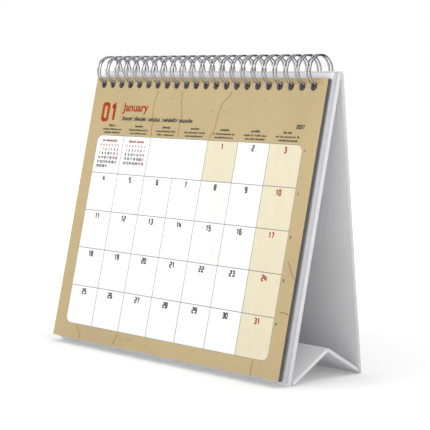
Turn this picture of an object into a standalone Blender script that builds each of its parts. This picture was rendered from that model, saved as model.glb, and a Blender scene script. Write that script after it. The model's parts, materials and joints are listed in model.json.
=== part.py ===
"""Flip desk calendar: twelve month sheets on a twin-loop wire, on a folding board stand.

The profile of the stand is drawn in the Y-Z plane, in millimetres from the point
where the inner face of the front wall meets the ground.  X runs along the ridge,
Y points to the rear and Z points up.  The finished model stands on Z = 0 with its
origin under the middle of its outline.
"""

from math import atan2, cos, pi, radians, sin

import bmesh
import bpy
from mathutils import Matrix, Vector

MM = 0.001

# Stand: overall sizes in millimetres
STAND_WIDTH = 196.0
WALL_LEAN = radians(12.7)
INNER_BOARD = 2.8
FRONT_BOARD = 2.7
GLUE_LINE = 0.3
FRONT_BOARD_LIFT = 1.2
WALL_TOP = 161.7
FOLD_BOARD = 1.9
CREASE_GAP = 0.15

# Stand: corners of the folded strip in the Y-Z profile
RIDGE_REAR = Vector((37.5, 162.3))
HEEL = Vector((53.4, 0.0))
PEAK = Vector((27.36, 17.04))
FRONT_FOLD = Vector((0.45, 1.5))
HEEL_CREASE_HEIGHT = 3.2
HEEL_MITRE = Vector((52.3, 0.0))
OPEN_PIVOT_GAP = 1.0
BASE_CLEARANCE = 0.3
RIDGE_PIVOT_DROP = 1.7
RIDGE_STRIP = 0.3
RIDGE_CLOSED = radians(12.0)

# Sheets
SHEET_WIDTH = 195.0
SHEET_HEIGHT = 159.0
SHEET_LEAN = radians(12.98)
SHEET_TOP_FRONT = Vector((26.85, 158.74))
SHEET_THICKNESS = 0.13
SHEET_PITCH = 0.17
CARD_THICKNESS = 0.45
CARD_GAP = 0.1
MONTHS = (
    "january",
    "february",
    "march",
    "april",
    "may",
    "june",
    "july",
    "august",
    "september",
    "october",
    "november",
    "december",
)

# Wire binding: 3 loops to the inch
LOOPS = 22
LOOP_PITCH = 25.4 / 3
FIRST_LOOP_X = -90.0
RING_CENTRE = Vector((30.2, 162.5))
RING_RADIUS = 8.4
WIRE_RADIUS = 0.5
TWIN_SPACING = 2.3
ROOT_ANGLE = radians(-8.0)
TIP_ANGLE = radians(-24.0)
ARC_STEPS = 12
CROWN_STEPS = 4

# Punched holes
SHEET_HOLE_RADIUS = 2.35
SHEET_HOLE_DROP = 4.5
WALL_SLOT_HEIGHT = 157.4
WALL_SLOT = (2.2, 3.3)
BACK_SLOT_DROP = 3.05
BACK_SLOT = (2.2, 2.8)
SLOT_CORNER = 1.0

# The sheets' lower edge is the foremost line of the outline, the heel the rearmost
ORIGIN_Y = 0.5 * (HEEL.x + SHEET_TOP_FRONT.x - SHEET_HEIGHT * sin(SHEET_LEAN))


# ---------------------------------------------------------------- plane geometry
def along(angle):
    """Unit vector in the profile at this angle from +Y towards +Z."""
    return Vector((cos(angle), sin(angle)))


def left_of(direction):
    return Vector((-direction.y, direction.x))


def crossing(point_a, dir_a, point_b, dir_b):
    """Where two lines of the profile meet."""
    wide = dir_a.x * dir_b.y - dir_a.y * dir_b.x
    gap = point_b - point_a
    reach = (gap.x * dir_b.y - gap.y * dir_b.x) / wide
    return point_a + dir_a * reach


def trimmed(outline, point, direction):
    """The part of an outline on the left of a line."""
    side = left_of(direction)
    kept = []
    for here, there in zip(outline, outline[1:] + outline[:1]):
        a = (here - point).dot(side)
        b = (there - point).dot(side)
        if a >= 0:
            kept.append(here)
        if a * b < 0:
            kept.append(here.lerp(there, a / (a - b)))
    return kept


def arc(centre, radius, start, end, steps):
    turn = (end - start) / steps
    return [centre + along(start + turn * i) * radius for i in range(steps + 1)]


def box_outline(low, high):
    return [
        Vector((low[0], low[1])),
        Vector((high[0], low[1])),
        Vector((high[0], high[1])),
        Vector((low[0], high[1])),
    ]


# Directions and creases that follow from the corners above
WALL_UP = along(pi / 2 - WALL_LEAN)
WALL_FRONT = left_of(WALL_UP)
BACK_UP = (RIDGE_REAR - HEEL).normalized()
BACK_INWARD = left_of(BACK_UP)
RIDGE_PIVOT = RIDGE_REAR - BACK_UP * RIDGE_PIVOT_DROP + BACK_INWARD * FOLD_BOARD / 2
HEEL_CREASE = crossing(
    HEEL + BACK_INWARD * FOLD_BOARD,
    BACK_UP,
    Vector((0.0, HEEL_CREASE_HEIGHT)),
    Vector((1.0, 0.0)),
)
FRONT_RISE = (PEAK - FRONT_FOLD).normalized()
REAR_RISE = (PEAK - HEEL_CREASE).normalized()
FRONT_UNDER = -left_of(FRONT_RISE)
REAR_UNDER = left_of(REAR_RISE)
PEAK_CREASE = crossing(
    FRONT_FOLD + FRONT_UNDER * FOLD_BOARD,
    FRONT_RISE,
    HEEL_CREASE + REAR_UNDER * FOLD_BOARD,
    REAR_RISE,
)


# ---------------------------------------------------------------- scene helpers
def clear_scene():
    for thing in list(bpy.data.objects):
        bpy.data.objects.remove(thing, do_unlink=True)


def new_collection(name):
    collection = bpy.data.collections.new(name)
    bpy.context.scene.collection.children.link(collection)
    return collection


def material(name, colour, roughness, metallic=0.0):
    made = bpy.data.materials.new(name)
    made.use_nodes = True
    shader = made.node_tree.nodes["Principled BSDF"]
    shader.inputs["Base Color"].default_value = (*colour, 1.0)
    shader.inputs["Roughness"].default_value = roughness
    shader.inputs["Metallic"].default_value = metallic
    return made


def place(point, x=0.0):
    """A profile point as a position of the finished model."""
    return Vector((x, point.x - ORIGIN_Y, point.y)) * MM


def flat_mesh(name, outlines, thickness):
    """A closed plate in X-Y, centred on Z = 0; outlines inside the first are holes."""
    curve = bpy.data.curves.new(name, "CURVE")
    curve.dimensions = "2D"
    curve.fill_mode = "BOTH"
    curve.extrude = thickness * MM / 2
    for outline in outlines:
        spline = curve.splines.new("POLY")
        spline.points.add(len(outline) - 1)
        for spot, corner in zip(spline.points, outline):
            spot.co = (corner[0] * MM, corner[1] * MM, 0.0, 1.0)
        spline.use_cyclic_u = True
    return welded_mesh(name, curve)


def welded_mesh(name, curve):
    """The mesh of a curve, with its caps joined to its sides."""
    holder = bpy.data.objects.new(name + "_curve", curve)
    bpy.context.scene.collection.objects.link(holder)
    graph = bpy.context.evaluated_depsgraph_get()
    graph.update()
    mesh = bpy.data.meshes.new_from_object(holder.evaluated_get(graph))
    bpy.data.objects.remove(holder, do_unlink=True)
    mesh.name = name
    work = bmesh.new()
    work.from_mesh(mesh)
    bmesh.ops.remove_doubles(work, verts=work.verts, dist=0.000001)
    bmesh.ops.recalc_face_normals(work, faces=work.faces)
    work.to_mesh(mesh)
    work.free()
    return mesh


def add_object(name, mesh, collection, look=None, location=(0, 0, 0), parent=None):
    made = bpy.data.objects.new(name, mesh)
    made.location = location
    made.parent = parent
    collection.objects.link(made)
    if look and not mesh.materials:
        mesh.materials.append(look)
    return made


def prism(name, outline, pivot, collection, look):
    """A board: its profile drawn out along X, with the object's origin on pivot."""
    mesh = flat_mesh(name, [[p - pivot for p in outline]], STAND_WIDTH)
    mesh.transform(Matrix(((0, 0, 1, 0), (1, 0, 0, 0), (0, 1, 0, 0), (0, 0, 0, 1))))
    return add_object(name, mesh, collection, look, place(pivot))


def slot_outline(centre_x, half_width, half_height):
    """A punched slot with its corners cut off."""
    w = half_width
    h = half_height
    c = SLOT_CORNER
    corners = ((w, c - h), (w, h - c), (w - c, h), (c - w, h))
    corners += tuple((-a, -b) for a, b in corners)
    return [(centre_x + a, b) for a, b in corners]


def loop_positions():
    return [FIRST_LOOP_X + LOOP_PITCH * i for i in range(LOOPS)]


def slot_cutter(name, centre, tilt, sizes, collection):
    """A row of slots, one at each loop, square to a board that leans by tilt."""
    rows = [slot_outline(x, *sizes) for x in loop_positions()]
    mesh = flat_mesh(name, rows, 4 * INNER_BOARD)
    cutter = add_object(name, mesh, collection, None, place(centre))
    cutter.rotation_euler = (pi / 2 - tilt, 0, 0)
    cutter.hide_render = True
    cutter.display_type = "WIRE"
    return cutter


def cut(board, cutter):
    modifier = board.modifiers.new("slots", "BOOLEAN")
    modifier.operation = "DIFFERENCE"
    modifier.solver = "EXACT"
    modifier.object = cutter


# ---------------------------------------------------------------- stand
def wall_layer(near, far):
    """Profile of one board of the front wall, between two depths from its inner face."""
    start = WALL_FRONT * near
    end = WALL_FRONT * far
    outline = [start - WALL_UP * 5, start + WALL_UP * 175, end + WALL_UP * 175]
    outline.append(end - WALL_UP * 5)
    outline = trimmed(outline, Vector((0, WALL_TOP)), Vector((-1, 0)))
    return trimmed(outline, Vector((0, 0)), Vector((1, 0)))


def inner_board_outline():
    """The inner board, relieved near the ridge where the back board closes against it."""
    closed_up = along(atan2(BACK_UP.y, BACK_UP.x) - RIDGE_CLOSED)
    relief = RIDGE_PIVOT + left_of(closed_up) * (FOLD_BOARD / 2 + 0.3)
    return trimmed(wall_layer(0.0, INNER_BOARD), relief, closed_up)


def front_board_outline():
    near = INNER_BOARD + GLUE_LINE
    outline = wall_layer(near, near + FRONT_BOARD)
    return trimmed(outline, WALL_UP * FRONT_BOARD_LIFT, -WALL_FRONT)


def ridge_strip_outline():
    """The cover strip that wraps the ridge: flat over the wall, then round the pivot."""
    inside = WALL_TOP + 0.3 - RIDGE_PIVOT.y
    outside = inside + RIDGE_STRIP
    wrap = radians(55)
    depth = INNER_BOARD + GLUE_LINE + FRONT_BOARD
    front_y = (WALL_UP * (WALL_TOP / WALL_UP.y)).x - depth / WALL_UP.y
    outer = arc(RIDGE_PIVOT, outside, wrap, pi / 2, 4)
    inner = arc(RIDGE_PIVOT, inside, pi / 2, wrap, 4)
    front = [
        Vector((front_y, RIDGE_PIVOT.y + outside)),
        Vector((front_y, RIDGE_PIVOT.y + inside)),
    ]
    return outer + front + inner


def back_board_outline():
    """The rear leg: a round top on the ridge pivot, and a foot mitred for the heel crease."""
    half = FOLD_BOARD / 2
    lean = atan2(BACK_UP.y, BACK_UP.x)
    top = arc(RIDGE_PIVOT, half, lean - pi / 2, lean + pi / 2, 6)
    outline = [HEEL - BACK_UP * 4] + top + [HEEL - BACK_UP * 4 + BACK_INWARD * FOLD_BOARD]
    mitre = (HEEL_MITRE - HEEL_CREASE).normalized()
    outline = trimmed(outline, HEEL_CREASE + left_of(mitre) * CREASE_GAP, mitre)
    return trimmed(outline, Vector((0, 0)), Vector((1, 0)))


def flap_outline(foot, rise, under):
    """A base flap, long at both ends, before its mitres are cut."""
    low = foot - rise * 12
    high = PEAK + rise * 6
    return [low, high, high + under * FOLD_BOARD, low + under * FOLD_BOARD]


def rear_flap_outline():
    outline = flap_outline(HEEL_CREASE, REAR_RISE, REAR_UNDER)
    mitre = (HEEL_CREASE - HEEL_MITRE).normalized()
    outline = trimmed(outline, HEEL_CREASE + left_of(mitre) * CREASE_GAP, mitre)
    fold = (PEAK_CREASE - PEAK).normalized()
    outline = trimmed(outline, PEAK + left_of(fold) * CREASE_GAP, fold)
    return trimmed(outline, Vector((0, BASE_CLEARANCE)), Vector((1, 0)))


def front_flap_outline():
    outline = flap_outline(FRONT_FOLD, FRONT_RISE, FRONT_UNDER)
    fold = (PEAK - PEAK_CREASE).normalized()
    outline = trimmed(outline, PEAK + left_of(fold) * CREASE_GAP, fold)
    outline = trimmed(outline, -WALL_FRONT * OPEN_PIVOT_GAP, -WALL_UP)
    return trimmed(outline, Vector((0, BASE_CLEARANCE)), Vector((1, 0)))


def build_stand(parts, cutters):
    white = (0.86, 0.86, 0.87)
    foot = Vector((0, 0))
    inner = prism(
        "inner_board",
        inner_board_outline(),
        foot,
        parts,
        material("inner_board", white, 0.6),
    )
    front = prism(
        "front_board",
        front_board_outline(),
        foot,
        parts,
        material("front_board", (0.8, 0.8, 0.82), 0.6),
    )
    prism(
        "ridge_strip",
        ridge_strip_outline(),
        foot,
        parts,
        material("ridge_strip", (0.9, 0.9, 0.9), 0.55),
    )
    back = prism(
        "back_board",
        back_board_outline(),
        RIDGE_PIVOT,
        parts,
        material("back_board", (0.84, 0.84, 0.85), 0.6),
    )
    prism(
        "base_rear_flap",
        rear_flap_outline(),
        HEEL_CREASE,
        parts,
        material("base_rear_flap", (0.78, 0.78, 0.79), 0.6),
    )
    prism(
        "base_front_flap",
        front_flap_outline(),
        PEAK_CREASE,
        parts,
        material("base_front_flap", (0.82, 0.82, 0.83), 0.6),
    )
    wall_row = WALL_UP * WALL_SLOT_HEIGHT + WALL_FRONT * INNER_BOARD
    wall_cutter = slot_cutter("wall_slots", wall_row, WALL_LEAN, WALL_SLOT, cutters)
    cut(inner, wall_cutter)
    cut(front, wall_cutter)
    back_lean = pi / 2 - atan2(BACK_UP.y, BACK_UP.x)
    back_row = RIDGE_PIVOT - BACK_UP * BACK_SLOT_DROP
    cut(back, slot_cutter("back_slots", back_row, back_lean, BACK_SLOT, cutters))


# ---------------------------------------------------------------- sheets
def sheet_mesh(name, thickness):
    """A punched sheet in its own plane: front face on local Y = 0, top edge on Z = 0."""
    half = SHEET_WIDTH / 2
    outlines = [box_outline((-half, -SHEET_HEIGHT), (half, 0.0))]
    for x in loop_positions():
        centre = Vector((x, -SHEET_HOLE_DROP))
        outlines.append(arc(centre, SHEET_HOLE_RADIUS, 0.0, 2 * pi * 5 / 6, 5))
    mesh = flat_mesh(name, outlines, thickness)
    mesh.transform(Matrix.Rotation(pi / 2, 4, "X"))
    mesh.transform(Matrix.Translation((0, thickness * MM / 2, 0)))
    return mesh


def sheet_hinge(name, collection):
    """An empty on the ring's axis, leaning with the sheets."""
    hinge = bpy.data.objects.new(name, None)
    hinge.empty_display_size = 0.01
    hinge.location = place(RING_CENTRE)
    hinge.rotation_euler = (-SHEET_LEAN, 0, 0)
    collection.objects.link(hinge)
    return hinge


def sheet_offset(depth):
    """A sheet's top front edge from its hinge, in the leaning frame, depth behind the first."""
    up = along(pi / 2 - SHEET_LEAN)
    reach = SHEET_TOP_FRONT - RING_CENTRE
    return Vector((0.0, depth - reach.dot(left_of(up)), reach.dot(up))) * MM


def build_sheets(parts, guides):
    mesh = sheet_mesh("month_sheet", SHEET_THICKNESS)
    for index, month in enumerate(MONTHS):
        hinge = sheet_hinge("hinge_" + month, guides)
        copy = mesh.copy()
        copy.name = "sheet_" + month
        look = material("sheet_" + month, (0.62, 0.49, 0.29), 0.7)
        depth = SHEET_PITCH * index
        add_object("sheet_" + month, copy, parts, look, sheet_offset(depth), hinge)
    depth = SHEET_PITCH * (len(MONTHS) - 1) + SHEET_THICKNESS + CARD_GAP
    card = sheet_mesh("backing_card", CARD_THICKNESS)
    look = material("backing_card", (0.33, 0.33, 0.35), 0.75)
    hinge = sheet_hinge("hinge_backing_card", guides)
    add_object("backing_card", card, parts, look, sheet_offset(depth), hinge)


# ---------------------------------------------------------------- wire
def ring_point(angle, x):
    spot = RING_CENTRE + along(angle) * RING_RADIUS
    return place(spot, x)


def wire_points():
    """The whole wire: every loop in turn, joined by short straight roots."""
    half = TWIN_SPACING / 2
    crown = half / RING_RADIUS
    shoulder = TIP_ANGLE - crown
    sweep = 2 * pi + shoulder - ROOT_ANGLE
    points = []
    for centre_x in loop_positions():
        passes = [ROOT_ANGLE + sweep * i / ARC_STEPS for i in range(ARC_STEPS + 1)]
        points += [ring_point(a, centre_x - half) for a in passes]
        for i in range(1, CROWN_STEPS):
            turn = pi * i / CROWN_STEPS
            angle = shoulder + crown * sin(turn)
            points.append(ring_point(angle, centre_x - half * cos(turn)))
        points += [ring_point(a, centre_x + half) for a in reversed(passes)]
    return points


def build_wire(parts):
    curve = bpy.data.curves.new("wire_o_binding", "CURVE")
    curve.dimensions = "3D"
    curve.bevel_depth = WIRE_RADIUS * MM
    curve.bevel_resolution = 1
    curve.use_fill_caps = True
    spline = curve.splines.new("POLY")
    points = wire_points()
    spline.points.add(len(points) - 1)
    for spot, point in zip(spline.points, points):
        spot.co = (*point, 1.0)
    curve.materials.append(material("wire_o_binding", (0.8, 0.8, 0.81), 0.2, 1.0))
    wire = bpy.data.objects.new("wire_o_binding", curve)
    parts.objects.link(wire)


def main():
    clear_scene()
    parts = new_collection("flip_desk_calendar")
    guides = new_collection("hinge_axes")
    cutters = new_collection("cutters")
    build_stand(parts, cutters)
    build_sheets(parts, guides)
    build_wire(parts)


main()
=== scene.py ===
"""Looks of the flip desk calendar: printed sheets, a chrome wire and a white folding stand.

A page point is in millimetres from a sheet's top left corner: how far right, how far down.
"""

import json
import random
from math import cos, pi, radians, sin

import bmesh
import bpy
from mathutils import Matrix, Vector


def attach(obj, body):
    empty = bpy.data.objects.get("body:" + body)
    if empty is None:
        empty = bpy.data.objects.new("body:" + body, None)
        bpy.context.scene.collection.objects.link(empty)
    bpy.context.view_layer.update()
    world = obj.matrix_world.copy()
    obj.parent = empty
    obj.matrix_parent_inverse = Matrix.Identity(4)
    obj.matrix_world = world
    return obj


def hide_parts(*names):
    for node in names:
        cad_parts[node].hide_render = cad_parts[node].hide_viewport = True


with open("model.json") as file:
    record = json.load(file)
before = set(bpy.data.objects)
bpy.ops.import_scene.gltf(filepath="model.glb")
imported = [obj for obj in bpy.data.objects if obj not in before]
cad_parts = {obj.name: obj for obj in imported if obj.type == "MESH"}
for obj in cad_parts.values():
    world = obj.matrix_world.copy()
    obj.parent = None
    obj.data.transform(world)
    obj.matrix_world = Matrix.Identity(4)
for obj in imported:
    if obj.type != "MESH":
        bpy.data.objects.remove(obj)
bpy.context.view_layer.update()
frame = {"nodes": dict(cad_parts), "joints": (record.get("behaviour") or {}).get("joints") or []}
MM = 0.001

# The block of sheets
MONTHS = (
    "january",
    "february",
    "march",
    "april",
    "may",
    "june",
    "july",
    "august",
    "september",
    "october",
    "november",
    "december",
)
MONTH_DAYS = (31, 28, 31, 30, 31, 30, 31, 31, 30, 31, 30, 31)
FIRST_WEEKDAY = 4
YEAR = "2027"
SHEET_LEAN = radians(12.98)
SHEET_WIDTH = 195.0
SHEET_HEIGHT = 159.0
SHEET_CORNER = 0.4
SHEET_THICKNESS = 0.13
CARD_THICKNESS = 0.45

# The punched holes and the wire through them
LOOPS = 22
LOOP_PITCH = 25.4 / 3
FIRST_LOOP = -90.0
HOLE_DROP = 4.5
HOLE_RADIUS = 2.35
HOLE_STEPS = 28
RING_RADIUS = 8.4
WIRE_RADIUS = 0.5
TWIN_SPACING = 2.3
ROOT_ANGLE = radians(-8.0)
TIP_ANGLE = radians(-24.0)
PASS_STEPS = 56
CROWN_STEPS = 12

# The printed grid
COLUMN = 24.9
ROW = 22.86
GRID_LEFT = 10.4
GRID_TOP = 35.8
ROWS = 5
GRID_CORNER = 4.0
OUTLINE_WIDTH = 0.28
RULE_WIDTH = 0.42
NUMBER_DROP = 3.1
NUMBER_HEIGHT = 2.75
WEEK_OFFSET = (1.9, 3.0)
WEEK_HEIGHT = 1.3
WEEK_WEIGHT = 0.32

# The headings over the grid
TITLE_CENTRE = (17.4, 21.5)
TITLE_HEIGHT = 9.6
TITLE_WEIGHT = 0.255
DIVIDER_RIGHT = 28.9
DIVIDER_TOP = 16.2
DIVIDER_DASHES = 12
DIVIDER_PITCH = 0.92
DIVIDER_DASH = 0.45
DIVIDER_WIDTH = 0.3
NAME_CORNER = (30.3, 15.5)
NAME_CAP_HEIGHT = 5.15
NAME_STRETCH = 1.09
SUB_LINE_LEFT = 30.6
SUB_LINE_DROP = 25.1
SUB_LINE_HEIGHT = 2.5
SUB_LINE_WORDS = (9.5, 11.5, 11.0, 13.0, 12.5)
SUB_LINE_GAP = 1.8
SUB_LINE_BAR = (23.6, 26.8)
SUB_LINE_BAR_WIDTH = 0.28
YEAR_CENTRE = (180.6, 26.3)
YEAR_HEIGHT = 1.9
YEAR_WEIGHT = 0.28

# Height of a capital in the built-in typeface, as a share of the typeface's size
CAPITAL_SHARE = 0.73

# The three rows over each weekday: how far down, how long, how high, how dense
WEEKDAY_ROWS = (
    (29.5, 7.6, 1.4, 0.9),
    (31.8, 18.0, 1.2, 0.85),
    (33.8, 15.5, 1.2, 0.85),
)

# A small month inside one cell
MINI_LEFT = 4.2
MINI_COLUMN = 2.74
MINI_ROW = 2.56
MINI_TITLE_DROP = 2.9
MINI_TITLE_LENGTH = 14.5
MINI_TITLE_HEIGHT = 1.6
MINI_TICK_TOP = 5.1
MINI_TICK_FOOT = 6.4
MINI_TICK_SIDES = (-0.4, 0.4)
MINI_TICK_WIDTH = 0.42
MINI_FIRST_ROW = 8.3
MINI_NUMBER_HEIGHT = 1.3
MINI_WEIGHT = 0.36

# Rows of ticks for tiny wording: shares of the row's height or a tick's room, and chances
TICK_PITCH = 0.46
TICK_HEIGHT = 0.72
TICK_WIDTH = 0.75
TICK_BAR = 0.25
TICK_SKIPPED = 0.06
TICK_JOINED = 0.7

# Bands of bare sand: top and foot, how far left and right cracks start, and their drift
CRACKED_BANDS = (
    ((8, 35), (20, 185), 14),
    ((151, 158.5), (20, 175), 6),
)
MARGIN = (188, 194.5)
CRACK_WIDTH = 0.46
FLECK_WIDTH = 0.2
FLECKS = 9
FAINT_WIDTH = 0.34
SWAY = 0.09

# How far each printed layer stands off the paper, and what keeps crossing lines apart
LAYERS = {"ground": 0.006, "tint": 0.010, "line": 0.014, "mark": 0.018}
CROSSING_LIFT = 0.0006
COLUMN_RULE_LIFT = 0.0008
FAINT_LIFT = -0.0015
INKS = (
    "sand",
    "back",
    # edge: the sheets' cut edges, dark slate as painted shade of the block's side
    "edge",
    "white",
    "cream",
    "line",
    "navy",
    "red",
    "crack",
    "faint",
    # hole: the walls of the punched holes, grey-blue as painted shade
    "hole",
)

# Brightness of the even light from all round
AMBIENT = 0.6

# The camera, in metres, degrees and millimetres of lens
CAMERA_PLACE = (0.6581, -0.5795, 0.1629)
CAMERA_TILT = 84.66
CAMERA_TURN = 48.0
LENS_LENGTH = 129.8

# Numerals as pen strokes in a box two wide and four high
STROKES = {
    "0": (((0, 0), (2, 0), (2, 4), (0, 4), (0, 0)),),
    "1": (((0.3, 3.1), (1.3, 4), (1.3, 0)),),
    "2": (((0, 4), (2, 4), (2, 2.1), (0, 1.9), (0, 0), (2, 0)),),
    "3": (((0, 4), (2, 4), (2, 0), (0, 0)), ((0.5, 2.1), (1.7, 2.1))),
    "4": (((0, 4), (0, 1.3), (2.3, 1.3)), ((1.7, 3.4), (1.7, 0))),
    "5": (((2, 4), (0, 4), (0, 2.2), (2, 2.2), (2, 0), (0, 0)),),
    "6": (((2, 4), (0, 4), (0, 0), (2, 0), (2, 2.2)), ((2, 2.2), (0.3, 2.2))),
    "7": (((0, 4), (2, 4), (0.8, 0)),),
    "8": (((0, 0), (2, 0), (2, 4), (0, 4), (0, 0)), ((0.3, 2.1), (1.7, 2.1))),
    "9": (((2, 4), (0, 4), (0, 1.8), (1.7, 1.8)), ((2, 4), (2, 0), (0, 0))),
}


# ---------------------------------------------------------------- materials
class Look:
    """A Principled material, with short ways to add the nodes that give it detail."""

    def __init__(self, name, roughness, metallic=0.0):
        self.material = bpy.data.materials.new(name)
        self.material.use_nodes = True
        self.nodes = self.material.node_tree.nodes
        self.links = self.material.node_tree.links
        self.shader = self.nodes["Principled BSDF"]
        self.shader.inputs["Roughness"].default_value = roughness
        self.shader.inputs["Metallic"].default_value = metallic
        self.place = self.nodes.new("ShaderNodeTexCoord").outputs["Object"]

    def stretched(self, scale):
        node = self.nodes.new("ShaderNodeMapping")
        node.inputs["Scale"].default_value = scale
        self.links.new(self.place, node.inputs["Vector"])
        return node.outputs["Vector"]

    def noise(self, scale, detail=3.0, roughness=0.5, stretch=None):
        node = self.nodes.new("ShaderNodeTexNoise")
        node.inputs["Scale"].default_value = scale
        node.inputs["Detail"].default_value = detail
        node.inputs["Roughness"].default_value = roughness
        where = self.stretched(stretch) if stretch else self.place
        self.links.new(where, node.inputs["Vector"])
        return node.outputs["Fac"]

    def ramp(self, factor, stops):
        """Colour stops as (place, colour) along a factor."""
        node = self.nodes.new("ShaderNodeValToRGB")
        elements = node.color_ramp.elements
        while len(elements) < len(stops):
            elements.new(0.5)
        for element, (spot, colour) in zip(elements, stops):
            element.position = spot
            element.color = (*colour, 1.0)
        self.links.new(factor, node.inputs["Fac"])
        return node.outputs["Color"]

    def mixed(self, factor, first, second, blend="MIX"):
        node = self.nodes.new("ShaderNodeMix")
        node.data_type = "RGBA"
        node.blend_type = blend
        self.wire(factor, node.inputs["Factor"])
        self.wire(first, node.inputs["A"])
        self.wire(second, node.inputs["B"])
        return node.outputs["Result"]

    def wire(self, source, socket):
        """Links a node output, or sets a plain value."""
        if isinstance(source, bpy.types.NodeSocket):
            self.links.new(source, socket)
        elif isinstance(source, tuple):
            socket.default_value = (*source, 1.0)
        else:
            socket.default_value = source

    def between(self, factor, low, high):
        node = self.nodes.new("ShaderNodeMapRange")
        node.inputs["To Min"].default_value = low
        node.inputs["To Max"].default_value = high
        self.links.new(factor, node.inputs["Value"])
        return node.outputs["Result"]

    def facing_sideways(self):
        """1 on the cut ends that face along X, 0 on the broad faces."""
        geometry = self.nodes.new("ShaderNodeNewGeometry")
        split = self.nodes.new("ShaderNodeSeparateXYZ")
        self.links.new(geometry.outputs["Normal"], split.inputs["Vector"])
        node = self.nodes.new("ShaderNodeMath")
        node.operation = "ABSOLUTE"
        self.links.new(split.outputs["X"], node.inputs[0])
        return node.outputs["Value"]

    def away(self, near, far, low, high):
        """A value that grows with distance from the object's origin."""
        length = self.nodes.new("ShaderNodeVectorMath")
        length.operation = "LENGTH"
        self.links.new(self.place, length.inputs[0])
        node = self.nodes.new("ShaderNodeMapRange")
        node.inputs["From Min"].default_value = near
        node.inputs["From Max"].default_value = far
        node.inputs["To Min"].default_value = low
        node.inputs["To Max"].default_value = high
        self.links.new(length.outputs["Value"], node.inputs["Value"])
        return node.outputs["Result"]

    def colour(self, source):
        self.wire(source, self.shader.inputs["Base Color"])
        return self

    def rough(self, factor, low, high):
        self.links.new(self.between(factor, low, high), self.shader.inputs["Roughness"])
        return self

    def bump(self, height, distance):
        node = self.nodes.new("ShaderNodeBump")
        node.inputs["Strength"].default_value = 1.0
        node.inputs["Distance"].default_value = distance
        self.links.new(height, node.inputs["Height"])
        self.links.new(node.outputs["Normal"], self.shader.inputs["Normal"])
        return self


def srgb(code):
    """A hexadecimal colour as linear values."""
    made = []
    for start in (0, 2, 4):
        value = int(code[start : start + 2], 16) / 255
        low = value / 12.92
        made.append(low if value < 0.04045 else ((value + 0.055) / 1.055) ** 2.4)
    return tuple(made)


def shaded(colour, share):
    return tuple(min(1.0, part * share) for part in colour)


def sand_paper():
    """Sand-coloured stock printed with cloudy mottling and a scatter of fine specks."""
    look = Look("printed_sand", 0.62)
    base = srgb("bda87c")
    clouds = look.noise(22.0, 5.0, 0.6)
    stops = [(0.3, shaded(base, 0.93)), (0.5, base), (0.72, shaded(base, 1.05))]
    cloudy = look.ramp(clouds, stops)
    specks = look.noise(900.0, 2.0, 0.7)
    freckled = look.ramp(specks, [(0.66, (1, 1, 1)), (0.74, (0.82, 0.76, 0.66))])
    look.colour(look.mixed(0.6, cloudy, freckled, "MULTIPLY"))
    look.rough(look.noise(260.0), 0.52, 0.7)
    return look.bump(look.noise(2600.0, 4.0), 0.000012).material


def printed(name, colour, spread=0.05):
    """Flat ink on coated paper: slightly uneven in tone, with the fibre showing through."""
    look = Look(name, 0.5)
    look.shader.inputs["Specular IOR Level"].default_value = 0.2
    uneven = look.noise(140.0, 4.0)
    stops = [(0.35, shaded(colour, 1 - spread)), (0.65, shaded(colour, 1 + spread))]
    look.colour(look.ramp(uneven, stops))
    look.rough(look.noise(300.0), 0.42, 0.6)
    return look.bump(look.noise(2600.0, 4.0), 0.000008).material


def plain_paper(name, colour):
    """Uncoated paper with a soft fibre pattern."""
    look = Look(name, 0.75)
    fibres = look.noise(700.0, 6.0, 0.7, (1.0, 1.0, 0.35))
    stops = [(0.3, shaded(colour, 0.94)), (0.7, shaded(colour, 1.02))]
    look.colour(look.ramp(fibres, stops))
    look.rough(look.noise(240.0), 0.66, 0.84)
    return look.bump(fibres, 0.00002).material


def cut_edges(name, colour):
    """The stacked cut edges of paper: fine streaks along the cut."""
    look = Look(name, 0.8)
    streaks = look.noise(60.0, 4.0, 0.7, (1.0, 140.0, 1.0))
    stops = [(0.25, shaded(colour, 0.72)), (0.75, shaded(colour, 1.25))]
    look.colour(look.ramp(streaks, stops))
    return look.bump(streaks, 0.00003).material


def grey_card():
    """Recycled backing card: grey, with pale and dark fibres."""
    look = Look("grey_card", 0.85)
    fibres = look.noise(420.0, 7.0, 0.75, (1.0, 1.0, 0.5))
    stops = [(0.3, srgb("6d6d72")), (0.5, srgb("838388")), (0.75, srgb("9a9a9e"))]
    look.colour(look.ramp(fibres, stops))
    return look.bump(fibres, 0.00004).material


def white_board(name, face, edge, streak):
    """Board covered in white paper, with layered streaks on its cut ends; the face and end
    tones, given per part, carry painted light and shade.
    """
    look = Look(name, 0.55)
    tone = look.noise(30.0, 4.0)
    painted_light_face = look.ramp(tone, [(0.3, shaded(face, 0.97)), (0.7, shaded(face, 1.02))])
    layers = look.noise(50.0, 3.0, 0.6, streak)
    painted_light_edge = look.ramp(layers, [(0.3, shaded(edge, 0.93)), (0.7, shaded(edge, 1.04))])
    look.colour(look.mixed(look.facing_sideways(), painted_light_face, painted_light_edge))
    look.rough(look.noise(180.0), 0.46, 0.62)
    return look.bump(look.noise(1500.0, 5.0, 0.6), 0.000018).material


def chrome():
    """Bright drawn wire with fine lengthwise marks."""
    look = Look("chrome_wire", 0.14, 1.0)
    marks = look.noise(300.0, 2.0, 0.5)
    look.colour(look.ramp(marks, [(0.3, srgb("c0c0c4")), (0.7, srgb("dededf"))]))
    look.rough(marks, 0.1, 0.18)
    return look.bump(look.noise(700.0, 2.0), 0.0000015).material


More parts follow.
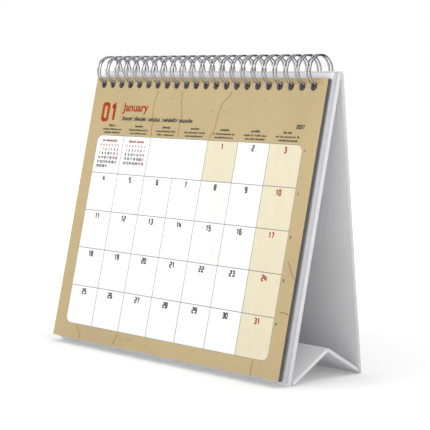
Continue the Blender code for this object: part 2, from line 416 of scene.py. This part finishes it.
def ink_materials():
    """One material for each entry of INKS, in that order."""
    return [
        sand_paper(),
        plain_paper("sheet_back", srgb("ece5d3")),
        # The sheets' cut edges are dark slate: painted shade, the side of the page block
        # standing in shadow
        cut_edges("shaded_sheet_edges", srgb("51535f")),
        printed("white_ink", (0.93, 0.93, 0.93), 0.015),
        printed("cream_ink", srgb("e3dabe"), 0.02),
        printed("line_ink", srgb("84868a")),
        printed("navy_ink", srgb("141c2a"), 0.15),
        printed("red_ink", srgb("a63a00"), 0.08),
        printed("crack_ink", srgb("935f3b"), 0.12),
        printed("faint_ink", srgb("e2d8bc"), 0.05),
        # The hole walls are grey-blue, not paper-coloured: painted shade inside the punched
        # holes
        plain_paper("shaded_hole_walls", srgb("9a9cb0")),
    ]


# ---------------------------------------------------------------- plane geometry
def softened(points, radius):
    """An open path with each inner corner turned into a short arc."""
    made = [points[0]]
    for before, corner, after in zip(points, points[1:], points[2:]):
        into = before - corner
        out = after - corner
        reach = min(radius, into.length / 2, out.length / 2)
        start = corner + into.normalized() * reach
        end = corner + out.normalized() * reach
        for step in (0.0, 0.5, 1.0):
            made.append(start.lerp(corner, step).lerp(corner.lerp(end, step), step))
    return made + [points[-1]]


def ribbon_sides(points, width):
    """The two edges of a flat band along a path, mitred at its corners."""
    left = []
    right = []
    for index, point in enumerate(points):
        before = points[max(index - 1, 0)]
        after = points[min(index + 1, len(points) - 1)]
        into = (point - before).normalized() if index else (after - point).normalized()
        out = (after - point).normalized() if after != point else into
        across = Vector((-(into + out).y, (into + out).x)).normalized()
        share = max(0.4, across.dot(Vector((-into.y, into.x))))
        left.append(point + across * (width / 2 / share))
        right.append(point - across * (width / 2 / share))
    return left, right


def rounded_box(low, high, radii, steps):
    """A rectangle whose four corners have their own radii, from the first corner round."""
    corners = (
        (Vector((low.x, low.y)), 1, 1, pi),
        (Vector((high.x, low.y)), -1, 1, pi * 1.5),
        (Vector((high.x, high.y)), -1, -1, 0.0),
        (Vector((low.x, high.y)), 1, -1, pi / 2),
    )
    made = []
    for (corner, side, down, start), radius in zip(corners, radii):
        if radius == 0:
            made.append(corner)
            continue
        centre = corner + Vector((side, down)) * radius
        for step in range(steps + 1):
            angle = start + pi / 2 * step / steps
            made.append(centre + Vector((cos(angle), sin(angle))) * radius)
    return made


def circle(centre, radius, steps):
    turns = [2 * pi * step / steps for step in range(steps)]
    return [centre + Vector((cos(turn), sin(turn))) * radius for turn in turns]


# ---------------------------------------------------------------- printing
def page_matrix(node):
    """From page space (right, back, up, from the top left front corner) to the model."""
    lean = Matrix.Rotation(-SHEET_LEAN, 4, "X")
    flat = lean.inverted()
    corners = [flat @ vertex.co for vertex in frame["nodes"][node].data.vertices]
    left = min(corner.x for corner in corners)
    front = min(corner.y for corner in corners)
    top = max(corner.z for corner in corners)
    return lean @ Matrix.Translation((left, front, top))


class Print:
    """Everything printed on one page, as flat faces just in front of the paper."""

    def __init__(self):
        self.mesh = bmesh.new()
        self.extra = 0.0

    def spot(self, point, layer):
        lift = LAYERS[layer] + self.extra
        return self.mesh.verts.new(Vector((point.x, -lift, -point.y)) * MM)

    def polygon(self, points, ink, layer):
        face = self.mesh.faces.new([self.spot(point, layer) for point in points])
        face.material_index = INKS.index(ink)

    def band(self, points, width, ink, layer):
        left, right = ribbon_sides(points, width)
        a = [self.spot(point, layer) for point in left]
        b = [self.spot(point, layer) for point in right]
        for index in range(len(points) - 1):
            corners = (a[index], a[index + 1], b[index + 1], b[index])
            self.mesh.faces.new(corners).material_index = INKS.index(ink)

    def line(self, start, end, width, ink, layer):
        self.band([Vector(start), Vector(end)], width, ink, layer)

    def number(self, text, centre, height, ink, weight=0.3):
        """A numeral centred on a page point."""
        unit = height / 4
        advance = (2.4 + 3 * weight) * unit
        start = centre[0] - advance * (len(text) - 1) / 2 - unit
        foot = centre[1] + height / 2
        for place, digit in enumerate(text):
            for order, stroke in enumerate(STROKES[digit]):
                self.extra = CROSSING_LIFT * order
                corner = Vector((start + advance * place, foot))
                path = [corner + Vector((x * unit, -y * unit)) for x, y in stroke]
                path = softened(path, 0.55 * unit)
                self.band(path, height * weight, ink, "mark")
        self.extra = 0.0

    def greeked(self, centre, length, height, seed, ink, density):
        """A row of upright ticks with short bars that stands in for a line of tiny wording."""
        chance = random.Random(seed)
        pitch = height * TICK_PITCH
        short = height * TICK_HEIGHT
        bar = height * TICK_BAR * density
        width = pitch * density * TICK_WIDTH
        start = centre[0] - length / 2
        foot = centre[1] + height / 2
        for step in range(int(length / pitch)):
            if chance.random() < TICK_SKIPPED:
                continue
            x = start + pitch * (step + 0.5)
            tall = chance.choice((short, short, short, height))
            self.extra = 0.0
            self.line((x, foot), (x, foot - tall), width, ink, "mark")
            self.extra = CROSSING_LIFT
            y = foot - chance.choice((bar / 2, short - bar / 2, short / 2))
            if chance.random() < TICK_JOINED:
                self.line((x, y), (x + pitch, y), bar, ink, "mark")
        self.extra = 0.0

    def word(self, text, corner, cap_height, stretch, ink):
        """A word in the plain built-in typeface, with its first capital's top on corner."""
        curve = bpy.data.curves.new("word", "FONT")
        curve.body = text
        curve.size = 1.0
        curve.offset = 0.03
        curve.resolution_u = 3
        holder = bpy.data.objects.new("word", curve)
        bpy.context.scene.collection.objects.link(holder)
        graph = bpy.context.evaluated_depsgraph_get()
        outline = bpy.data.meshes.new_from_object(holder.evaluated_get(graph))
        size = cap_height / CAPITAL_SHARE
        lift = -LAYERS["mark"]
        first = len(self.mesh.verts)
        known = len(self.mesh.faces)
        self.mesh.from_mesh(outline)
        self.mesh.verts.ensure_lookup_table()
        self.mesh.faces.ensure_lookup_table()
        for vertex in self.mesh.verts[first:]:
            right = corner[0] + vertex.co.x * size * stretch
            down = corner[1] + cap_height - vertex.co.y * size
            vertex.co = Vector((right, lift, -down)) * MM
        for face in self.mesh.faces[known:]:
            face.material_index = INKS.index(ink)
        bpy.data.objects.remove(holder)
        bpy.data.curves.remove(curve)
        bpy.data.meshes.remove(outline)


def first_weekday(month):
    """0 for a month that starts on a Monday, 6 for a Sunday."""
    return (FIRST_WEEKDAY + sum(MONTH_DAYS[: month % 12]) + 365 * (month // 12)) % 7


def cell_kinds(month):
    """What fills each cell of the grid: a day, a small calendar or nothing."""
    start = first_weekday(month)
    kinds = [["blank"] * 7 for _ in range(ROWS)]
    for day in range(MONTH_DAYS[month]):
        row, column = divmod(start + day, 7)
        if row < ROWS:
            kinds[row][column] = "day"
    row, columns = (0, (0, 1)) if start > 1 else (ROWS - 1, (5, 6))
    for column in columns:
        kinds[row][column] = "mini"
    return kinds, row, columns


def cell_corner(row, column):
    return Vector((GRID_LEFT + COLUMN * column, GRID_TOP + ROW * row))


def print_grid(page, kinds):
    """The white grid with its rounded outline and thin rules."""
    low = cell_corner(0, 0)
    high = cell_corner(ROWS, 7)
    outline = rounded_box(low, high, [GRID_CORNER] * 4, 8)
    page.polygon(outline, "white", "ground")
    page.band(outline + outline[:1], OUTLINE_WIDTH, "line", "line")
    for row in range(1, ROWS):
        page.line(cell_corner(row, 0), cell_corner(row, 7), RULE_WIDTH, "line", "line")
    page.extra = COLUMN_RULE_LIFT
    for row, kinds_here in enumerate(kinds):
        for column in range(1, 7):
            if kinds_here[column - 1] == kinds_here[column] == "blank":
                continue
            top = cell_corner(row, column)
            foot = cell_corner(row + 1, column)
            page.line(top, foot, RULE_WIDTH, "line", "line")
    page.extra = 0.0


def tinted_cell(page, row, column):
    """A cream ground on one cell, rounded where it meets a corner of the grid."""
    radii = [0.0] * 4
    if column == 6 and row == 0:
        radii[1] = GRID_CORNER
    if column == 6 and row == ROWS - 1:
        radii[2] = GRID_CORNER
    corner = cell_corner(row, column)
    outline = rounded_box(corner, corner + Vector((COLUMN, ROW)), radii, 8)
    page.polygon(outline, "cream", "tint")


def print_days(page, month):
    """The day numbers; a sixth row shares the cells of the fifth."""
    holidays = (1,) if month == 0 else ()
    start = first_weekday(month)
    for day in range(1, MONTH_DAYS[month] + 1):
        row, column = divmod(start + day - 1, 7)
        low = NUMBER_DROP
        if row == ROWS:
            row = ROWS - 1
            low = ROW / 2 + NUMBER_DROP
        festive = column == 6 or day in holidays
        corner = cell_corner(row, column)
        centre = corner + Vector((COLUMN / 2, low))
        ink = "red" if festive else "navy"
        page.number(str(day), centre, NUMBER_HEIGHT, ink)
        if festive and low == NUMBER_DROP:
            tinted_cell(page, row, column)


def print_small_month(page, corner, month, seed):
    """A whole month in one cell: red ticks for its wording, and small numbers."""
    left = corner.x + MINI_LEFT
    middle = (left + 3 * MINI_COLUMN, corner.y + MINI_TITLE_DROP)
    page.greeked(middle, MINI_TITLE_LENGTH, MINI_TITLE_HEIGHT, seed, "red", 1.0)
    top = corner.y + MINI_TICK_TOP
    foot = corner.y + MINI_TICK_FOOT
    for column in range(7):
        for side in MINI_TICK_SIDES:
            x = left + MINI_COLUMN * column + side
            page.line((x, top), (x, foot), MINI_TICK_WIDTH, "red", "mark")
    start = first_weekday(month)
    for day in range(1, MONTH_DAYS[month % 12] + 1):
        row, column = divmod(start + day - 1, 7)
        x = left + MINI_COLUMN * column
        y = corner.y + MINI_FIRST_ROW + MINI_ROW * row
        ink = "red" if column == 6 else "navy"
        page.number(str(day), (x, y), MINI_NUMBER_HEIGHT, ink, MINI_WEIGHT)


def print_title(page, month):
    """The month's number, a dotted divider and the month's name."""
    page.number("%02d" % (month + 1), TITLE_CENTRE, TITLE_HEIGHT, "red", TITLE_WEIGHT)
    for step in range(DIVIDER_DASHES):
        y = DIVIDER_TOP + step * DIVIDER_PITCH
        end = (DIVIDER_RIGHT, y + DIVIDER_DASH)
        page.line((DIVIDER_RIGHT, y), end, DIVIDER_WIDTH, "navy", "mark")
    name = MONTHS[month].capitalize()
    page.word(name, NAME_CORNER, NAME_CAP_HEIGHT, NAME_STRETCH, "red")


def print_sub_line(page, month):
    """The line under the name: stand-ins for words, with thin bars between them."""
    top, foot = SUB_LINE_BAR
    x = SUB_LINE_LEFT
    for place, length in enumerate(SUB_LINE_WORDS):
        seed = month * 40 + place
        centre = (x + length / 2, SUB_LINE_DROP)
        page.greeked(centre, length, SUB_LINE_HEIGHT, seed, "navy", 0.85)
        if place:
            bar = x - SUB_LINE_GAP / 2
            page.line((bar, top), (bar, foot), SUB_LINE_BAR_WIDTH, "navy", "mark")
        x += length + SUB_LINE_GAP


def print_weekdays(page, month):
    """Three rows of ticks over each column of the grid."""
    for column in range(7):
        centre = GRID_LEFT + COLUMN * (column + 0.5)
        for order, (down, length, height, density) in enumerate(WEEKDAY_ROWS):
            seed = month * 40 + 10 + column + 10 * order
            page.greeked((centre, down), length, height, seed, "navy", density)


def print_weeks(page, month):
    """The number of each row's week, in the margin right of the grid."""
    first = (sum(MONTH_DAYS[:month]) + FIRST_WEEKDAY) // 7
    for row in range(ROWS):
        centre = cell_corner(row, 7) + Vector(WEEK_OFFSET)
        page.number(str(max(1, first + row)), centre, WEEK_HEIGHT, "navy", WEEK_WEIGHT)


def wandering(start, end, seed):
    """A crack-like path between two points, bent at random by halving it again and again."""
    chance = random.Random(seed)
    path = [Vector(start), Vector(end)]
    for level in range(5):
        reach = SWAY * 1.22**level
        finer = [path[0]]
        for a, b in zip(path, path[1:]):
            across = Vector((a.y - b.y, b.x - a.x))
            middle = (a + b) / 2 + across * chance.uniform(-reach, reach)
            finer += [middle, b]
        path = finer
    return path


def crack_runs(chance):
    """The start, end and width of each crack and fleck of a page."""
    runs = []
    for (top, foot), (left, right), drift in CRACKED_BANDS:
        for _ in range(3):
            x = chance.uniform(left, right)
            end = (x + chance.uniform(-drift, drift), foot)
            runs.append(((x, top), end, CRACK_WIDTH))
    inner, outer = MARGIN
    for _ in range(2):
        y = chance.uniform(45, 140)
        end = (inner, y + chance.uniform(-12, 12))
        runs.append(((outer, y), end, CRACK_WIDTH))
    for _ in range(FLECKS):
        x = chance.uniform(20, 185)
        y = chance.choice((13.0, 19.0, 154.0))
        end = (x + chance.uniform(1.5, 4.0), y + chance.uniform(-2.5, 1.0))
        runs.append(((x, y), end, FLECK_WIDTH))
    return runs


def print_cracks(page, month):
    """Hairline cracks and flecks over the sand, then one faint line across the grid."""
    chance = random.Random(7 * month + 3)
    for order, (start, end, width) in enumerate(crack_runs(chance)):
        page.extra = -CROSSING_LIFT * (order % 5)
        path = wandering(start, end, 100 * month + order)
        page.band(path, width, "crack", "ground")
    x = chance.uniform(40, 160)
    page.extra = FAINT_LIFT
    faint = wandering((x, 36.5), (x + chance.uniform(-10, 10), 113), 100 * month + 50)
    page.band(faint, FAINT_WIDTH, "faint", "line")
    page.extra = 0.0


def print_page(month):
    page = Print()
    kinds, row, columns = cell_kinds(month)
    print_cracks(page, month)
    print_grid(page, kinds)
    print_days(page, month)
    print_title(page, month)
    print_sub_line(page, month)
    print_weekdays(page, month)
    page.number(YEAR, YEAR_CENTRE, YEAR_HEIGHT, "navy", YEAR_WEIGHT)
    print_weeks(page, month)
    for order, column in enumerate(columns):
        near = month - 1 + 2 * order
        print_small_month(page, cell_corner(row, column), near, 900 + near)
    return page


# ---------------------------------------------------------------- sheets
def punched_mesh(name, thickness):
    """A sheet in page space, with a row of round holes near its top edge."""
    far = Vector((SHEET_WIDTH, SHEET_HEIGHT))
    outlines = [rounded_box(Vector((0, 0)), far, [SHEET_CORNER] * 4, 3)]
    for index in range(LOOPS):
        x = SHEET_WIDTH / 2 + FIRST_LOOP + LOOP_PITCH * index
        outlines.append(circle(Vector((x, HOLE_DROP)), HOLE_RADIUS, HOLE_STEPS))
    curve = bpy.data.curves.new(name, "CURVE")
    curve.dimensions = "2D"
    curve.fill_mode = "BOTH"
    curve.extrude = thickness * MM / 2
    for points in outlines:
        spline = curve.splines.new("POLY")
        spline.points.add(len(points) - 1)
        for spot, point in zip(spline.points, points):
            spot.co = (point.x * MM, -point.y * MM, 0.0, 1.0)
        spline.use_cyclic_u = True
    mesh = mesh_of(name, curve)
    mesh.transform(Matrix.Rotation(pi / 2, 4, "X"))
    mesh.transform(Matrix.Translation((0, thickness * MM / 2, 0)))
    return mesh


def mesh_of(name, curve):
    """A curve as a mesh, with its parts joined."""
    holder = bpy.data.objects.new(name, curve)
    bpy.context.scene.collection.objects.link(holder)
    graph = bpy.context.evaluated_depsgraph_get()
    mesh = bpy.data.meshes.new_from_object(holder.evaluated_get(graph))
    bpy.data.objects.remove(holder)
    bpy.data.curves.remove(curve)
    work = bmesh.new()
    work.from_mesh(mesh)
    bmesh.ops.remove_doubles(work, verts=work.verts, dist=0.0000005)
    bmesh.ops.recalc_face_normals(work, faces=work.faces)
    work.to_mesh(mesh)
    work.free()
    return mesh


def sort_faces(mesh, front, back, side, hole):
    """Gives a plate's faces their material by the way they look, and hole walls their own."""
    reach = (HOLE_RADIUS + 0.15) * MM
    for face in mesh.polygons:
        if face.normal.y < -0.5:
            face.material_index = front
        elif face.normal.y > 0.5:
            face.material_index = back
        elif abs(face.center.z + HOLE_DROP * MM) < reach:
            face.material_index = hole
        else:
            face.material_index = side


def shown(name, mesh, looks, body, replaced):
    made = bpy.data.objects.new(name, mesh)
    bpy.context.scene.collection.objects.link(made)
    for look in looks:
        mesh.materials.append(look)
    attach(made, body)
    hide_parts(replaced)


def build_sheets(inks):
    blank = punched_mesh("page", SHEET_THICKNESS)
    sort_faces(blank, *(INKS.index(ink) for ink in ("sand", "back", "edge", "hole")))
    for month, name in enumerate(MONTHS):
        page = print_page(month)
        page.mesh.from_mesh(blank)
        mesh = bpy.data.meshes.new("page_" + name)
        page.mesh.to_mesh(mesh)
        page.mesh.free()
        mesh.transform(page_matrix("sheet_" + name))
        shown("page_" + name, mesh, inks, "leaf_" + name, "sheet_" + name)


def build_card():
    mesh = punched_mesh("back_card", CARD_THICKNESS)
    sort_faces(mesh, 0, 0, 1, 0)
    mesh.transform(page_matrix("backing_card"))
    looks = [grey_card(), cut_edges("card_edges", srgb("85858a"))]
    shown("back_card", mesh, looks, "leaf_backing_card", "backing_card")


# ---------------------------------------------------------------- wire
def ring_centre():
    """The axis of the ring in the profile, from the joint that the first sheet turns on."""
    for joint in frame["joints"]:
        if joint["name"] == "january_turn":
            return Vector((joint["pos_m"][1], joint["pos_m"][2])) / MM
    raise ValueError("no sheet joint")


def wire_path(centre):
    """The whole wire: up one side of a loop, round its crown, back, and on to the next."""
    half = TWIN_SPACING / 2
    crown = half / RING_RADIUS
    shoulder = TIP_ANGLE - crown
    sweep = 2 * pi + shoulder - ROOT_ANGLE
    passes = [ROOT_ANGLE + sweep * step / PASS_STEPS for step in range(PASS_STEPS + 1)]
    turns = [pi * step / CROWN_STEPS for step in range(1, CROWN_STEPS)]
    points = []
    for index in range(LOOPS):
        middle = FIRST_LOOP + LOOP_PITCH * index
        points += [(middle - half, angle) for angle in passes]
        points += [(middle - half * cos(t), shoulder + crown * sin(t)) for t in turns]
        points += [(middle + half, angle) for angle in reversed(passes)]
    made = []
    for x, angle in points:
        y = centre.x + RING_RADIUS * cos(angle)
        z = centre.y + RING_RADIUS * sin(angle)
        made.append(Vector((x, y, z)) * MM)
    return made


def build_wire():
    points = wire_path(ring_centre())
    curve = bpy.data.curves.new("twin_loop_wire", "CURVE")
    curve.dimensions = "3D"
    curve.bevel_depth = WIRE_RADIUS * MM
    curve.bevel_resolution = 3
    curve.use_fill_caps = True
    spline = curve.splines.new("POLY")
    spline.points.add(len(points) - 1)
    for spot, point in zip(spline.points, points):
        spot.co = (*point, 1.0)
    mesh = mesh_of("twin_loop_wire", curve)
    mesh.shade_smooth()
    shown("twin_loop_wire", mesh, [chrome()], "stand_front", "wire_o_binding")


# ---------------------------------------------------------------- stand
def soften_edges(node, width):
    """Takes the sharpness off a board's edges."""
    board = frame["nodes"][node]
    weld = board.modifiers.new("weld", "WELD")
    weld.merge_threshold = 0.000002
    bevel = board.modifiers.new("soft_edges", "BEVEL")
    bevel.width = width * MM
    bevel.segments = 3
    bevel.limit_method = "ANGLE"
    bevel.angle_limit = radians(28)
    bevel.harden_normals = True


def dress_stand():
    # The stand is one white-covered board throughout; its face and edge tones differ part by
    # part as painted light and shade: the ridge strip lightest, the rear flap darkest, the
    # flaps' cut ends painted lighter and the front and back boards' cut ends painted darker than
    # their faces
    board_tones_with_painted_light = {
        "front_board": (srgb("f2f2f4"), srgb("cfcfd3"), (1.0, 60.0, 1.0), 0.35),
        "inner_board": (srgb("eeeeef"), srgb("e9e9eb"), (1.0, 60.0, 1.0), 0.35),
        "ridge_strip": (srgb("f6f6f7"), srgb("f4f4f5"), (1.0, 60.0, 1.0), 0.08),
        "back_board": (srgb("ececed"), srgb("d9d9dc"), (1.0, 60.0, 1.0), 0.4),
        "base_rear_flap": (srgb("e4e4e6"), srgb("e8e8ea"), (1.0, 30.0, 30.0), 0.3),
        "base_front_flap": (srgb("f0f0f1"), srgb("f4f4f5"), (1.0, 30.0, 30.0), 0.3),
    }
    for node, (face, edge, streak, width) in board_tones_with_painted_light.items():
        board = frame["nodes"][node]
        board.data.materials.clear()
        board.data.materials.append(white_board("painted_light_covered_" + node, face, edge, streak))
        soften_edges(node, width)


# ---------------------------------------------------------------- studio
def build_floor():
    """A pale floor whose own glow grows from 0.1 to 0.45 metres from the middle."""
    work = bmesh.new()
    bmesh.ops.create_grid(work, x_segments=8, y_segments=8, size=4.0)
    mesh = bpy.data.meshes.new("studio_floor")
    work.to_mesh(mesh)
    work.free()
    floor = bpy.data.objects.new("studio_floor", mesh)
    bpy.context.scene.collection.objects.link(floor)
    look = Look("studio_floor", 0.9)
    look.colour(look.ramp(look.noise(3.0), [(0.3, (0.93,) * 3), (0.7, (0.95,) * 3)]))
    look.shader.inputs["Emission Color"].default_value = (1.0, 1.0, 1.0, 1.0)
    look.wire(look.away(0.1, 0.45, 0.09, 0.5), look.shader.inputs["Emission Strength"])
    look.shader.inputs["Specular IOR Level"].default_value = 0.0
    mesh.materials.append(look.material)
    floor.visible_glossy = False


def area_light(name, place, target, size, power):
    """A rectangle of light that faces its target, in metres and watts."""
    lamp = bpy.data.lights.new(name, "AREA")
    lamp.shape = "RECTANGLE"
    lamp.size, lamp.size_y = size
    lamp.energy = power
    made = bpy.data.objects.new(name, lamp)
    made.location = place
    aim = Vector(target) - Vector(place)
    made.rotation_euler = aim.to_track_quat("-Z", "Y").to_euler()
    bpy.context.scene.collection.objects.link(made)


def build_world():
    """A white backdrop that lights softly; only mirror-like reflections see its darker parts."""
    world = bpy.data.worlds.new("studio")
    bpy.context.scene.world = world
    world.use_nodes = True
    nodes = world.node_tree.nodes
    links = world.node_tree.links
    path = nodes.new("ShaderNodeLightPath")
    place = nodes.new("ShaderNodeTexCoord")
    split = nodes.new("ShaderNodeSeparateXYZ")
    links.new(place.outputs["Generated"], split.inputs["Vector"])
    ramp = nodes.new("ShaderNodeValToRGB")
    stops = ramp.color_ramp.elements
    stops[0].position = 0.22
    stops[0].color = (0.75, 0.75, 0.76, 1.0)
    stops[1].position = 0.48
    stops[1].color = (0.03, 0.03, 0.034, 1.0)
    shift = nodes.new("ShaderNodeMapRange")
    shift.inputs["From Min"].default_value = -1.0
    links.new(split.outputs["Y"], shift.inputs["Value"])
    links.new(shift.outputs["Result"], ramp.inputs["Fac"])
    glossy = nodes.new("ShaderNodeMix")
    glossy.data_type = "RGBA"
    glossy.inputs["A"].default_value = (AMBIENT, AMBIENT, AMBIENT, 1.0)
    links.new(path.outputs["Is Glossy Ray"], glossy.inputs["Factor"])
    links.new(ramp.outputs["Color"], glossy.inputs["B"])
    seen = nodes.new("ShaderNodeMix")
    seen.data_type = "RGBA"
    seen.inputs["B"].default_value = (1.0, 1.0, 1.0, 1.0)
    links.new(path.outputs["Is Camera Ray"], seen.inputs["Factor"])
    links.new(glossy.outputs["Result"], seen.inputs["A"])
    links.new(seen.outputs["Result"], nodes["Background"].inputs["Color"])


def build_lights():
    middle = (0.0, 0.0, 0.08)
    area_light("key", (-0.7, -1.4, 1.1), middle, (1.2, 1.0), 10.5)
    area_light("top", (0.2, 0.2, 1.6), middle, (1.6, 1.6), 10.0)
    area_light("side", (1.0, -0.75, 0.35), middle, (0.8, 0.6), 0.6)


def build_camera():
    lens = bpy.data.cameras.new("camera")
    lens.lens = LENS_LENGTH
    lens.sensor_width = 36.0
    lens.clip_start = 0.01
    camera = bpy.data.objects.new("camera", lens)
    camera.location = CAMERA_PLACE
    camera.rotation_euler = (radians(CAMERA_TILT), 0.0, radians(CAMERA_TURN))
    bpy.context.scene.collection.objects.link(camera)
    bpy.context.scene.camera = camera


bpy.context.scene.view_settings.view_transform = "Standard"
build_camera()
build_sheets(ink_materials())
build_card()
build_wire()
dress_stand()
build_floor()
build_world()
build_lights()
